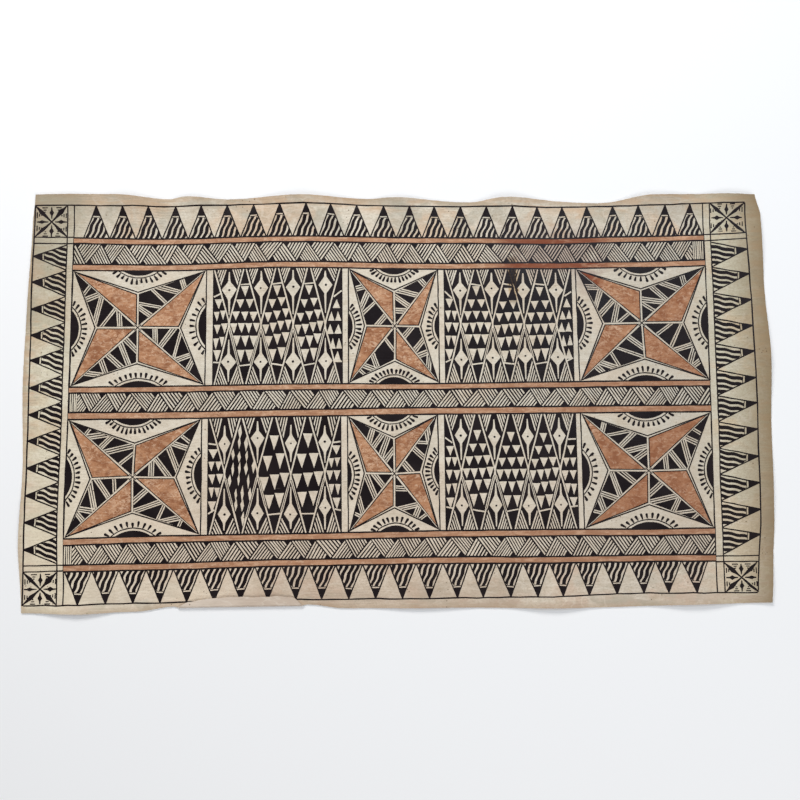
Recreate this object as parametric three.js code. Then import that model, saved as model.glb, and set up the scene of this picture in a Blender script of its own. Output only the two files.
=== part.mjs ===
// A painted bark cloth laid face up on a flat surface: one beaten sheet with an uneven cut edge, soft
// ripples that lift its edges, and one stretch of the near hem turned up and over on to the face.
// Millimetres, +Z up. The long side runs along X, the far edge is at +Y, and the underside rests on z = 0.
import * as THREE from 'three';

const SHEET_THICKNESS = 1.2;
const HALF_LENGTH = 487;
const HALF_WIDTH = 272;

// The turned-up hem: a straight fold across a stretch where the cut edge bulges out
const FOLD_LINE = -262.5;
const FOLD_RADIUS = 1.1;
const FOLD_TURN = THREE.MathUtils.degToRad(176);

// The cut edges: how far out each edge stands, at the crests, dips and corners along it
const FAR_EDGE = [
  { along: -487, out: 271.5 },
  { along: -400, out: 272 },
  { along: -310, out: 264.8 },
  { along: -288, out: 268 },
  { along: -235, out: 264.5 },
  { along: -140, out: 269.2 },
  { along: -42, out: 264.5 },
  { along: -15, out: 266 },
  { along: 95, out: 259.3 },
  { along: 142, out: 264.7 },
  { along: 270, out: 257.8 },
  { along: 350, out: 268.3 },
  { along: 420, out: 270 },
  { along: 487, out: 268 },
];
const NEAR_EDGE = [
  { along: -487, out: -268 },
  { along: -410, out: -270 },
  { along: -340, out: -268 },
  { along: -293, out: FOLD_LINE },
  { along: -122, out: FOLD_LINE },
  { along: -70, out: -268 },
  { along: 30, out: -269 },
  { along: 240, out: -272 },
  { along: 420, out: -269.5 },
  { along: 487, out: -269 },
];
const LEFT_EDGE = [
  { along: -272, out: -481 },
  { along: -180, out: -486 },
  { along: -90, out: -484 },
  { along: 20, out: -487 },
  { along: 228, out: -480 },
  { along: 272, out: -477 },
];
const RIGHT_EDGE = [
  { along: -272, out: 474 },
  { along: -160, out: 482 },
  { along: 40, out: 487 },
  { along: 128, out: 485 },
  { along: 238, out: 482.5 },
  { along: 272, out: 476 },
];

// How much cloth lies past the fold along the turned-up stretch
const TURNED_HEM = [
  { along: -293, depth: 0 },
  { along: -272, depth: 9 },
  { along: -245, depth: 13.4 },
  { along: -220, depth: 14.2 },
  { along: -160, depth: 14.2 },
  { along: -140, depth: 12.9 },
  { along: -122, depth: 0 },
];

// Ripples: the cloth lifts off the surface at these places along an edge, and settles again inside it
const RIPPLES = [
  { edge: 'far', along: -440, spread: 70, rise: 3, reach: 45 },
  { edge: 'far', along: -350, spread: 50, rise: 5.5, reach: 50 },
  { edge: 'far', along: -265, spread: 42, rise: 4, reach: 40 },
  { edge: 'far', along: -120, spread: 85, rise: 6.5, reach: 55 },
  { edge: 'far', along: 8, spread: 50, rise: 4, reach: 40 },
  { edge: 'far', along: 150, spread: 60, rise: 7, reach: 55 },
  { edge: 'far', along: 345, spread: 65, rise: 5, reach: 48 },
  { edge: 'far', along: 450, spread: 55, rise: 6, reach: 55 },
  { edge: 'right', along: 215, spread: 75, rise: 5, reach: 46 },
  { edge: 'right', along: 60, spread: 95, rise: 5.5, reach: 42 },
  { edge: 'right', along: -120, spread: 85, rise: 3.5, reach: 36 },
  { edge: 'right', along: -245, spread: 50, rise: 4, reach: 44 },
  { edge: 'left', along: 150, spread: 85, rise: 2.5, reach: 34 },
  { edge: 'left', along: -165, spread: 90, rise: 3, reach: 36 },
  { edge: 'near', along: -415, spread: 60, rise: 3.5, reach: 34 },
  { edge: 'near', along: 25, spread: 75, rise: 2.5, reach: 30 },
  { edge: 'near', along: 190, spread: 65, rise: 4, reach: 36 },
  { edge: 'near', along: 375, spread: 70, rise: 4.5, reach: 38 },
];

// The sheet's net: columns along X and rows from the near hem to the far edge, closer where it bends
const COLUMNS_ACROSS_MIDDLE = 50;
const SIDE_STRIP = 50;
const SIDE_STEPS = [0, 5, 12, 21, 34];
const HEM_STRIP = 10;
const HEM_ROWS_PAST_FOLD = 5;
const LEAST_HEM = 6;
const ROWS_ABOVE_HEM = [-238, -222, -200, -130, -45, 45, 130, 195];
const FAR_STEPS = [52, 38, 26, 15, 7, 0];

// The value of a table at a place, easing level into every row, so each row is a crest, a dip or an end
function tableAt(rows, place, column) {
  const last = rows.length - 1;
  if (place <= rows[0].along) return rows[0][column];
  if (place >= rows[last].along) return rows[last][column];
  const next = rows.findIndex((row) => row.along >= place);
  const from = rows[next - 1];
  const to = rows[next];
  const ease = THREE.MathUtils.smoothstep(place, from.along, to.along);
  return THREE.MathUtils.lerp(from[column], to[column], ease);
}

// Where the cloth's cut edge lies along the near side, with the bulge that the hem turns up
function nearEdge(x) {
  return tableAt(NEAR_EDGE, x, 'out') - tableAt(TURNED_HEM, x, 'depth');
}

// How far a place on the flat cloth lies inside one of its edges, and its place along that edge
function insideEdge(edge, x, y) {
  if (edge === 'far') return { depth: tableAt(FAR_EDGE, x, 'out') - y, along: x };
  if (edge === 'near') return { depth: y - tableAt(NEAR_EDGE, x, 'out'), along: x };
  if (edge === 'left') return { depth: x - tableAt(LEFT_EDGE, y, 'out'), along: y };
  return { depth: tableAt(RIGHT_EDGE, y, 'out') - x, along: y };
}

// The height of the underside above the surface at a place on the flat cloth
function liftAt(x, y) {
  let lift = 0;
  for (const ripple of RIPPLES) {
    const { depth, along } = insideEdge(ripple.edge, x, y);
    const aside = Math.min(Math.abs(along - ripple.along) / ripple.spread, 1);
    const inward = Math.min(Math.max(depth, 0) / ripple.reach, 1);
    lift += ripple.rise * Math.cos(aside * Math.PI / 2) ** 2 * (1 - inward) ** 2;
  }
  return lift;
}

// A place on the flat cloth, laid out: the points of its face and of its underside
function layPoint(x, y) {
  const half = SHEET_THICKNESS / 2;
  const pastFold = tableAt(TURNED_HEM, x, 'depth') > 0 ? Math.max(FOLD_LINE - y, 0) : 0;
  if (pastFold === 0) {
    const lift = liftAt(x, y);
    return {
      face: new THREE.Vector3(x, y, lift + SHEET_THICKNESS),
      underside: new THREE.Vector3(x, y, lift),
    };
  }
  const turn = Math.min(pastFold / FOLD_RADIUS, FOLD_TURN);
  const straight = Math.max(pastFold - FOLD_RADIUS * FOLD_TURN, 0);
  const middle = new THREE.Vector3(
    x,
    FOLD_LINE - FOLD_RADIUS * Math.sin(turn) - straight * Math.cos(turn),
    half + FOLD_RADIUS * (1 - Math.cos(turn)) + straight * Math.sin(turn),
  );
  const outOfFace = new THREE.Vector3(0, Math.sin(turn), Math.cos(turn));
  return {
    face: middle.clone().addScaledVector(outOfFace, half),
    underside: middle.clone().addScaledVector(outOfFace, -half),
  };
}

// The net's columns, as shares of the way from the left edge to the right one
function columnShares() {
  const length = 2 * HALF_LENGTH;
  const side = SIDE_STEPS.map((step) => step / length);
  const middle = [];
  for (let column = 0; column <= COLUMNS_ACROSS_MIDDLE; column += 1) {
    middle.push((SIDE_STRIP + (length - 2 * SIDE_STRIP) * column / COLUMNS_ACROSS_MIDDLE) / length);
  }
  return [...side, ...middle, ...side.map((share) => 1 - share).reverse()];
}

// The net's rows at one column, from the cut edge of the near hem to the far edge
function rowsAt(x) {
  const edge = nearEdge(x);
  const hem = Math.max(tableAt(TURNED_HEM, x, 'depth'), LEAST_HEM);
  const bend = FOLD_RADIUS * FOLD_TURN / (HEM_ROWS_PAST_FOLD - 1);
  const rows = [edge];
  for (let row = HEM_ROWS_PAST_FOLD - 1; row >= 0; row -= 1) {
    rows.push(edge + hem - Math.min(row * bend, hem * row / HEM_ROWS_PAST_FOLD));
  }
  rows.push(FOLD_LINE + HEM_STRIP);
  const far = tableAt(FAR_EDGE, x, 'out');
  return [...rows, ...ROWS_ABOVE_HEM, ...FAR_STEPS.map((step) => far - step)];
}

// One closed sheet: the face and the underside over the same net, joined round the rim
function sheetGeometry() {
  const shares = columnShares();
  const columns = shares.length;
  const rows = rowsAt(0).length;
  const face = [];
  const underside = [];
  for (const share of shares) {
    const squareX = THREE.MathUtils.lerp(-HALF_LENGTH, HALF_LENGTH, share);
    for (const y of rowsAt(squareX)) {
      const left = tableAt(LEFT_EDGE, y, 'out');
      const right = tableAt(RIGHT_EDGE, y, 'out');
      const point = layPoint(THREE.MathUtils.lerp(left, right, share), y);
      face.push(point.face);
      underside.push(point.underside);
    }
  }
  const count = columns * rows;
  const at = (column, row) => column * rows + row;
  const triangles = [];
  const quad = (a, b, c, d) => triangles.push(a, b, c, a, c, d);
  for (let column = 0; column < columns - 1; column += 1) {
    for (let row = 0; row < rows - 1; row += 1) {
      const corners = [
        at(column, row), at(column + 1, row), at(column + 1, row + 1), at(column, row + 1),
      ];
      quad(...corners);
      quad(...corners.map((corner) => corner + count).reverse());
    }
  }
  const rim = [];
  for (let column = 0; column < columns - 1; column += 1) rim.push(at(column, 0));
  for (let row = 0; row < rows - 1; row += 1) rim.push(at(columns - 1, row));
  for (let column = columns - 1; column > 0; column -= 1) rim.push(at(column, rows - 1));
  for (let row = rows - 1; row > 0; row -= 1) rim.push(at(0, row));
  rim.forEach((corner, place) => {
    const next = rim[(place + 1) % rim.length];
    quad(corner, corner + count, next + count, next);
  });
  const geometry = new THREE.BufferGeometry();
  geometry.setFromPoints([...face, ...underside]);
  geometry.setIndex(triangles);
  geometry.computeVertexNormals();
  return geometry;
}

const barkCloth = new THREE.Mesh(
  sheetGeometry(),
  new THREE.MeshStandardMaterial({ color: 0xcbb896, roughness: 0.85, metalness: 0 }),
);
barkCloth.name = 'bark_cloth';

const cloth = new THREE.Group();
cloth.add(barkCloth);

export default cloth;
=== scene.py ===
import math
import random
from collections import namedtuple

import bpy
import numpy as np
from mathutils import Euler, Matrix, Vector
from mathutils.geometry import delaunay_2d_cdt


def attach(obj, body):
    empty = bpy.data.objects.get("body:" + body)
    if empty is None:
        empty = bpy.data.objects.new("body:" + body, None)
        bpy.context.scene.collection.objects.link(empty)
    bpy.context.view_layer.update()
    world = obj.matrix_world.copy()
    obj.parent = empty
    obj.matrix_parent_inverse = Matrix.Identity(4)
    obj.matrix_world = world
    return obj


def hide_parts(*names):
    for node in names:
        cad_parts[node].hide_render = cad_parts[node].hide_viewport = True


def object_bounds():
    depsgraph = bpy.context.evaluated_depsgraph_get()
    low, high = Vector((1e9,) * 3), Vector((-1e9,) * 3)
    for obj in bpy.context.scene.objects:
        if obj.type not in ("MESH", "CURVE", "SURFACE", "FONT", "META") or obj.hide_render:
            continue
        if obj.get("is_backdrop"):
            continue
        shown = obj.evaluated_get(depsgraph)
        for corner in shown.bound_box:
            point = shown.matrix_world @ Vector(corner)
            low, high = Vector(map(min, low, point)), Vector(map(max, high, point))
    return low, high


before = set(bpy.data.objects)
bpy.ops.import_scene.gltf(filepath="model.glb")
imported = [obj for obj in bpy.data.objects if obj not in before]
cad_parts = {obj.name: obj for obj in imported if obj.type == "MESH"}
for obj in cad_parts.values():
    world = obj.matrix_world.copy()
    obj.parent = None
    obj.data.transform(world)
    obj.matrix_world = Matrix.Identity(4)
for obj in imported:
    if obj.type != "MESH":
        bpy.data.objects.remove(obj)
solid_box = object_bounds()


# The beaten sheet: inner bark soaked, beaten thin and felted into one pale sheet a millimetre thick,
# then cut by hand to a rough oblong. It lies on its underside. The cut edges lift in soft ripples, and
# a stretch of the near hem has turned up on to the face. Sizes are in millimetres on the flat sheet.
THICKNESS = 1.2
HALF_LENGTH = 487.0
FOLD_LINE = -262.5
FOLD_RADIUS = 1.1
FOLD_TURN = math.radians(176)
FAR_EDGE = {
    -487: 271.5, -400: 272.0, -310: 264.8, -288: 268.0, -235: 264.5, -140: 269.2, -42: 264.5,
    -15: 266.0, 95: 259.3, 142: 264.7, 270: 257.8, 350: 268.3, 420: 270.0, 487: 268.0,
}
NEAR_EDGE = {
    -487: -268.0, -410: -270.0, -340: -268.0, -293: FOLD_LINE, -122: FOLD_LINE, -70: -268.0,
    30: -269.0, 240: -272.0, 420: -269.5, 487: -269.0,
}
LEFT_EDGE = {-272: -481.0, -180: -486.0, -90: -484.0, 20: -487.0, 228: -480.0, 272: -477.0}
RIGHT_EDGE = {-272: 474.0, -160: 482.0, 40: 487.0, 128: 485.0, 238: 482.5, 272: 476.0}
TURNED_HEM = {-293: 0.0, -272: 9.0, -245: 13.4, -220: 14.2, -160: 14.2, -140: 12.9, -122: 0.0}
Wave = namedtuple("Wave", "share close start")
HEM_WAVES = (Wave(0.030, 0.11, 0.0), Wave(0.022, 0.31, 1.0))

Ripple = namedtuple("Ripple", "edge along spread rise reach")
RIPPLES = (
    Ripple("far", -440, 70, 3.0, 45), Ripple("far", -350, 50, 5.5, 50),
    Ripple("far", -265, 42, 4.0, 40), Ripple("far", -120, 85, 6.5, 55),
    Ripple("far", 8, 50, 4.0, 40), Ripple("far", 150, 60, 7.0, 55),
    Ripple("far", 345, 65, 5.0, 48), Ripple("far", 450, 55, 6.0, 55),
    Ripple("right", 215, 75, 5.0, 46), Ripple("right", 60, 95, 5.5, 42),
    Ripple("right", -120, 85, 3.5, 36), Ripple("right", -245, 50, 4.0, 44),
    Ripple("left", 150, 85, 2.5, 34), Ripple("left", -165, 90, 3.0, 36),
    Ripple("near", -415, 60, 3.5, 34), Ripple("near", 25, 75, 2.5, 30),
    Ripple("near", 190, 65, 4.0, 36), Ripple("near", 375, 70, 4.5, 38),
)

# Soft creases left from rolling and folding: each runs between two places, with its width and its height.
# It bends from side to side by a share of its width.
Crease = namedtuple("Crease", "x0 y0 x1 y1 wide high")
CREASE_BEND, CREASE_SWAY = 0.12, 5.0
CREASES = (
    Crease(-470, 252, -180, 264, 7, 0.9), Crease(-420, 268, -290, 262, 6, 0.8),
    Crease(-260, 254, 60, 261, 7, -0.7), Crease(-200, 266, -60, 258, 6, 0.8),
    Crease(-30, 250, 190, 257, 6, 0.9), Crease(0, 262, 140, 258, 5, 0.7),
    Crease(120, 252, 330, 249, 7, -0.6), Crease(300, 250, 470, 262, 8, 0.8),
    Crease(-150, 262, -20, 205, 22, 0.9), Crease(-215, 262, -110, 170, 26, -0.7),
    Crease(90, 258, 160, 120, 30, 0.9), Crease(230, 252, 190, 150, 24, -0.6),
    Crease(-300, -180, -228, -262, 9, 0.8), Crease(-332, -258, -262, -205, 8, -0.6),
    Crease(-190, -262, -120, -190, 11, 0.8), Crease(300, -270, 345, -232, 6, 1.0),
    Crease(322, -262, 372, -254, 5, 0.9), Crease(332, -270, 392, -242, 8, -0.6),
    Crease(60, -268, 200, -246, 8, 0.8), Crease(-60, -266, 70, -250, 8, -0.6),
    Crease(-470, 120, -430, 30, 16, 0.7), Crease(-472, -60, -425, -150, 15, -0.6),
    Crease(462, 150, 486, 20, 12, 0.9), Crease(455, -40, 486, -130, 12, -0.6),
    Crease(-330, 30, 60, -60, 54, 0.8), Crease(-60, 100, 380, -30, 60, -0.6),
    Crease(150, -60, 430, -190, 54, 0.8), Crease(-430, -40, -160, -190, 56, -0.5),
)


def eased(table, place):
    """A table's value at a place, easing level into every row."""
    rows = list(table.items())
    if place <= rows[0][0]:
        return rows[0][1]
    for (start, first), (end, second) in zip(rows, rows[1:]):
        if place <= end:
            share = (place - start) / (end - start)
            return first + (second - first) * share * share * (3 - 2 * share)
    return rows[-1][1]


def near_cut(x):
    """Where the near edge is cut. The part that turns up wavers."""
    waver = sum(wave.share * math.sin(x * wave.close + wave.start) for wave in HEM_WAVES)
    return eased(NEAR_EDGE, x) - eased(TURNED_HEM, x) * (1 + waver)


def inside_edge(edge, x, y):
    """How far a place on the flat sheet lies inside an edge, and its place along that edge."""
    if edge == "far":
        return eased(FAR_EDGE, x) - y, x
    if edge == "near":
        return y - eased(NEAR_EDGE, x), x
    if edge == "left":
        return x - eased(LEFT_EDGE, y), y
    return eased(RIGHT_EDGE, y) - x, y


def swell(aside):
    """1 in the middle of a ripple or a crease, easing to 0 at its side."""
    return math.cos(aside * math.pi / 2) ** 2


def lift_at(x, y):
    """How far the sheet's underside stands off the surface."""
    lift = 0.0
    for ripple in RIPPLES:
        depth, along = inside_edge(ripple.edge, x, y)
        aside = min(abs(along - ripple.along) / ripple.spread, 1.0)
        inward = min(max(depth, 0.0) / ripple.reach, 1.0)
        lift += ripple.rise * swell(aside) * (1 - inward) ** 2
    return lift


def crease_at(x, y):
    """How far the creases raise or sink the sheet."""
    height = 0.0
    for crease in CREASES:
        dx, dy = crease.x1 - crease.x0, crease.y1 - crease.y0
        run = math.hypot(dx, dy)
        along = ((x - crease.x0) * dx + (y - crease.y0) * dy) / run
        bend = CREASE_BEND * crease.wide * math.sin(along * CREASE_SWAY / run)
        aside = abs(((y - crease.y0) * dx - (x - crease.x0) * dy) / run - bend) / crease.wide
        if aside < 1 and 0 < along < run:
            height += crease.high * swell(aside) * math.sin(math.pi * along / run)
    return height


class Wire:
    """A node's output. Sums written on it add the Math nodes that work them out."""

    def __init__(self, tree, socket=None):
        self.tree = tree
        self.socket = socket

    def node(self, kind, settings=None, sockets=None, output=0):
        """A new node: its settings are set first, then its sockets get their values or links."""
        made = self.tree.nodes.new(kind)
        for name, value in (settings or {}).items():
            setattr(made, name, value)
        for name, value in (sockets or {}).items():
            if isinstance(value, Wire):
                self.tree.links.new(value.socket, made.inputs[name])
            else:
                made.inputs[name].default_value = value
        return Wire(self.tree, made.outputs[output] if made.outputs else None)

    def maths(self, operation, first, second=0.0):
        return self.node("ShaderNodeMath", {"operation": operation}, {0: first, 1: second})

    def __add__(self, other):
        return self.maths("ADD", self, other)

    def __sub__(self, other):
        return self.maths("SUBTRACT", self, other)

    def __rsub__(self, other):
        return self.maths("SUBTRACT", other, self)

    def __mul__(self, other):
        return self.maths("MULTIPLY", self, other)

    def __truediv__(self, other):
        return self.maths("DIVIDE", self, other)

    __radd__ = __add__
    __rmul__ = __mul__

    def split(self, vector):
        """The x and y of a vector."""
        return [self.node("ShaderNodeSeparateXYZ", None, {"Vector": vector}, output=axis) for axis in "XY"]

    def attribute(self, name):
        """A value kept on the mesh under a name."""
        return self.node("ShaderNodeAttribute", {"attribute_name": name}, None, output="Fac")

    def step(self, low, high):
        """Rises smoothly from 0 at low to 1 at high."""
        return self.node(
            "ShaderNodeMapRange",
            {"interpolation_type": "SMOOTHSTEP"},
            {"Value": self, "From Min": low, "From Max": high},
        )

    def mix(self, first, second):
        """The first colour where this is 0, the second where it is 1."""
        colours = {0: self, 6: first, 7: second}
        return self.node("ShaderNodeMix", {"data_type": "RGBA"}, colours, output=2)


def tone(red, green, blue):
    """A colour as seen on a screen, from 0 to 255, as light."""
    light = [(part / 255 + 0.055) / 1.055 for part in (red, green, blue)]
    return (*[part ** 2.4 for part in light], 1.0)


class Finish:
    """A material that reads the flat sheet, so its grain follows the cloth over its folds."""

    def __init__(self, name):
        self.material = bpy.data.materials.new(name)
        self.material.use_nodes = True
        self.tree = self.material.node_tree
        self.surface = self.tree.nodes["Principled BSDF"]
        self.start = Wire(self.tree)
        self.flat = self.start.node("ShaderNodeUVMap", {"uv_map": "Flat"})
        self.x, self.y = self.start.split(self.flat)
        self.colour = None

    def noise(self, across, along=None, detail=3.0, rough=0.55, shift=0.0, twist=0.0, swirl=0.0):
        """Cloudy variation, with so many clouds in a metre across and along the sheet."""
        placed = self.start.node(
            "ShaderNodeMapping",
            None,
            {
                "Vector": self.flat,
                "Location": (shift, shift * 0.7, shift * 0.3),
                "Rotation": (0.0, 0.0, twist),
                "Scale": (across, along or across, 1.0),
            },
        )
        return self.start.node(
            "ShaderNodeTexNoise",
            {"noise_dimensions": "3D"},
            {"Vector": placed, "Scale": 1.0, "Detail": detail, "Roughness": rough, "Distortion": swirl},
        )

    def scrawl(self, thin, *clouds, **placing):
        """1 on thin wandering lines, 0 elsewhere."""
        cloud = self.noise(*clouds, **placing)
        return 1 - self.start.maths("ABSOLUTE", cloud - 0.5).step(thin * 0.3, thin)

    def specks(self, in_a_metre, size, shift=0.0):
        """1 on small scattered flecks, 0 elsewhere."""
        placed = self.start.node(
            "ShaderNodeMapping", None, {"Vector": self.flat, "Location": (shift, shift, 0.0)}
        )
        near = self.start.node("ShaderNodeTexVoronoi", None, {"Vector": placed, "Scale": in_a_metre})
        rare = self.noise(23.0, detail=1.0, shift=shift + 3.1).step(0.52, 0.60)
        return (1 - near.step(size * 0.5, size)) * rare

    def box(self, x0, x1, y0, y1, soft):
        """1 inside an oblong of the sheet, fading out over its soft rim."""
        sides = self.x.step(x0 - soft, x0 + soft) * (1 - self.x.step(x1 - soft, x1 + soft))
        ends = self.y.step(y0 - soft, y0 + soft) * (1 - self.y.step(y1 - soft, y1 + soft))
        return sides * ends

    def spill(self, cover):
        """The dark stain that ran over the far bands. More cover closes the gaps in it."""
        ragged = self.noise(38.0, 64.0, detail=5.0, rough=0.68, shift=2.2)
        run = self.box(0.130, 0.274, 0.160, 0.222, 0.022) * ragged.step(0.40 - cover, 0.60 - cover)
        blot = self.box(0.236, 0.266, 0.136, 0.182, 0.014) * ragged.step(0.38, 0.54)
        return self.start.maths("MINIMUM", run + blot * 0.8, 1.0)

    def drip(self):
        """The narrow drip that ran down from the stain, and the yellowed cloth beside it."""
        wander = self.noise(70.0, 60.0, detail=4.0, shift=5.5)
        aside = self.start.maths("ABSOLUTE", self.x - 0.1430 - wander * 0.012)
        length = self.y.step(0.118, 0.136) * (1 - self.y.step(0.174, 0.188))
        ragged = self.noise(330.0, 80.0, detail=3.0, rough=0.6, shift=8.5).step(0.38, 0.43)
        dark = (1 - aside.step(0.0048, 0.0058)) * length * ragged
        return dark, (1 - aside.step(0.0050, 0.0085)) * length

    def grain(self, fine=1.0):
        """The felted fibres and the faint ribs that the beater leaves, as a height."""
        felt = self.noise(420.0, 900.0, detail=4.0, rough=0.6)
        clumps = self.noise(90.0, 160.0, detail=3.0, shift=1.3)
        crinkles = self.noise(26.0, 44.0, detail=4.0, rough=0.6, shift=7.7, twist=0.3, swirl=0.8)
        wander = self.noise(12.0, 12.0, detail=2.0, shift=4.4)
        ribs = self.start.maths("SINE", self.y * 1750.0 + wander * 26.0)
        faint = self.noise(20.0, 30.0, detail=2.0, shift=2.9).step(0.45, 0.65)
        return felt * (0.35 * fine) + clumps * 0.5 + crinkles * 1.3 + ribs * faint * 0.10

    def over(self, mask, colour):
        """Lays another colour over what is there, as far as the mask goes."""
        self.colour = mask.mix(self.colour, colour)

    def close(self, roughness, grain, strength, distance, shine):
        """Gives the surface its colour, its roughness, its raised grain and its shine."""
        raised = {"Strength": strength, "Distance": distance, "Height": grain}
        bump = self.start.node("ShaderNodeBump", None, raised)
        for name, wire in (("Base Color", self.colour), ("Roughness", roughness), ("Normal", bump)):
            self.tree.links.new(wire.socket, self.surface.inputs[name])
        self.surface.inputs["Specular IOR Level"].default_value = shine


bark = Finish("beaten_bark")
uneven = bark.noise(16.0, 16.0, detail=4.0, shift=6.5)
toned = (bark.x + uneven * 0.20).step(0.16, 0.52)
bark.colour = toned.mix(tone(224, 214, 196), tone(202, 194, 179))
border = 1 - bark.box(-0.434, 0.410, -0.214, 0.210, 0.008)
patchy = border * 0.55 + 0.25
warm = bark.noise(15.0, 19.0, detail=4.0, rough=0.6, shift=21.0, swirl=0.6).step(0.46, 0.60)
nearer = 1 - (bark.y + uneven * 0.10).step(-0.16, 0.06)
warm_colour = nearer.mix(tone(212, 184, 156), tone(205, 183, 163))
bark.over(warm * patchy, warm_colour)
cool = bark.noise(17.0, 23.0, detail=4.0, rough=0.6, shift=33.0, swirl=0.6).step(0.50, 0.62)
bark.over(cool * patchy, tone(190, 184, 168))
reddened = nearer * (0.26 - bark.x.step(-0.10, 0.15) * 0.12)
bark.over(reddened, tone(226, 190, 160))
at_sides = 1 - bark.box(-0.425, 0.405, -0.500, 0.500, 0.030)
bark.over(at_sides * 0.30, tone(216, 212, 172))
blotches = bark.noise(36.0, 52.0, detail=5.0, rough=0.66, shift=5.0, swirl=0.8).step(0.48, 0.70)
bark.over(blotches * 0.42, tone(190, 173, 149))
mottle = bark.noise(150.0, 190.0, detail=5.0, rough=0.66, shift=1.9).step(0.42, 0.70)
bark.over(mottle * 0.36, tone(178, 161, 137))
specked = bark.noise(330.0, 400.0, detail=4.0, rough=0.7, shift=17.0).step(0.46, 0.60)
bark.over(specked * (border * 0.12 + 0.14), tone(158, 139, 113))
fibres = bark.noise(60.0, 640.0, detail=5.0, rough=0.7, twist=0.05).step(0.50, 0.78)
bark.over(fibres * 0.32, tone(168, 151, 124))
pale = bark.noise(70.0, 300.0, detail=4.0, rough=0.65, shift=8.0, twist=-0.3, swirl=0.5)
pale = pale.step(0.55, 0.76)
bark.over(pale * 0.45, tone(232, 222, 203))
rim = bark.start.attribute("rim_gap")
margin = 1 - (rim + uneven * 0.012).step(0.014, 0.030)
streaks = bark.noise(14.0, 95.0, detail=5.0, rough=0.62, shift=26.0, twist=0.05, swirl=0.7)
streaks = streaks.step(0.42, 0.62)
streak_colour = nearer.mix(tone(204, 172, 140), tone(190, 167, 148))
bark.over(streaks * margin * 0.66, streak_colour)
greyed = bark.noise(19.0, 40.0, detail=5.0, rough=0.62, shift=41.0, swirl=0.7).step(0.50, 0.64)
bark.over(greyed * margin * 0.62, tone(177, 168, 149))
wrinkles = bark.scrawl(0.020, 13.0, 30.0, detail=3.0, shift=12.5, twist=0.5, swirl=0.5)
bark.over(wrinkles * border * 0.26, tone(232, 221, 204))
# Painted shadow: the far-left corner of the bark is darkened where a shadow falls across it.
painted_shadow_corner = (1 - bark.x.step(-0.465, -0.370)) * bark.y.step(0.04, 0.22)
bark.over(painted_shadow_corner * 0.56, tone(148, 138, 118))
# Painted shade: the far margin is darkened towards its left end, running on from the shadow in the corner.
painted_shade_far_left = (1 - bark.x.step(-0.42, -0.20)) * bark.y.step(0.19, 0.265)
bark.over(painted_shade_far_left * 0.32, tone(156, 145, 124))
dim_far_end = bark.x.step(0.22, 0.44) * bark.y.step(0.225, 0.262)
bark.over(dim_far_end * 0.32, tone(150, 136, 115))
pale_corner = (1 - bark.x.step(-0.44, -0.20)) * (1 - bark.y.step(-0.25, 0.04))
bark.over(pale_corner * 0.38, tone(238, 225, 200))
pale_hem = bark.box(-0.30, -0.19, -0.285, -0.222, 0.030)
bark.over(pale_hem * 0.42, tone(236, 219, 194))
dull_hem = bark.box(-0.23, 0.15, -0.33, -0.228, 0.06)
bark.over(dull_hem * 0.42, tone(176, 150, 127))
browned = (1 - (rim + uneven * 0.010).step(0.004, 0.014)) * 0.42
bark.over(browned, tone(164, 136, 106))
# Darker and browner towards the right edge.
darker_right_edge = (bark.x + uneven * 0.020).step(0.425, 0.500) * 0.80
bark.over(darker_right_edge, tone(132, 112, 82))
scuffs = bark.noise(28.0, 300.0, detail=5.0, rough=0.75, shift=14.0, twist=-0.5, swirl=0.4)
scuffs = scuffs.step(0.62, 0.78)
bark.over(scuffs * 0.36, tone(146, 126, 102))
bark.over(bark.specks(150.0, 0.16) * 0.75, tone(92, 72, 52))
bark.over(bark.spill(0.10) * 0.50, tone(140, 112, 104))
dripped, yellowed = bark.drip()
bark.over(yellowed * 0.60, tone(182, 146, 92))
bark.over(dripped * 0.97, tone(40, 28, 23))
dryness = 0.80 + bark.noise(120.0, detail=3.0) * 0.14
bark.close(dryness, bark.grain(), strength=0.55, distance=0.0016, shine=0.25)

underside = Finish("bark_underside")
clouds = underside.noise(9.0, 12.0, detail=4.0, shift=2.0).step(0.32, 0.70)
underside.colour = clouds.mix(tone(220, 204, 187), tone(200, 181, 163))
fibres = underside.noise(48.0, 520.0, detail=5.0, rough=0.7, shift=3.0).step(0.48, 0.80)
underside.over(fibres * 0.40, tone(160, 142, 120))
shown_through = underside.noise(26.0, 22.0, detail=3.0, shift=9.0).step(0.58, 0.76)
underside.over(shown_through * 0.35, tone(158, 142, 124))
wrinkles = underside.scrawl(0.030, 22.0, 50.0, detail=3.0, shift=6.0, twist=0.4, swirl=0.6)
underside.over(wrinkles * 0.35, tone(228, 216, 200))
underside.over(underside.specks(130.0, 0.17, 4.0) * 0.7, tone(104, 84, 64))
dryness = 0.84 + underside.noise(120.0, detail=3.0) * 0.12
underside.close(dryness, underside.grain(1.4), strength=0.45, distance=0.0010, shine=0.2)


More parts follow.
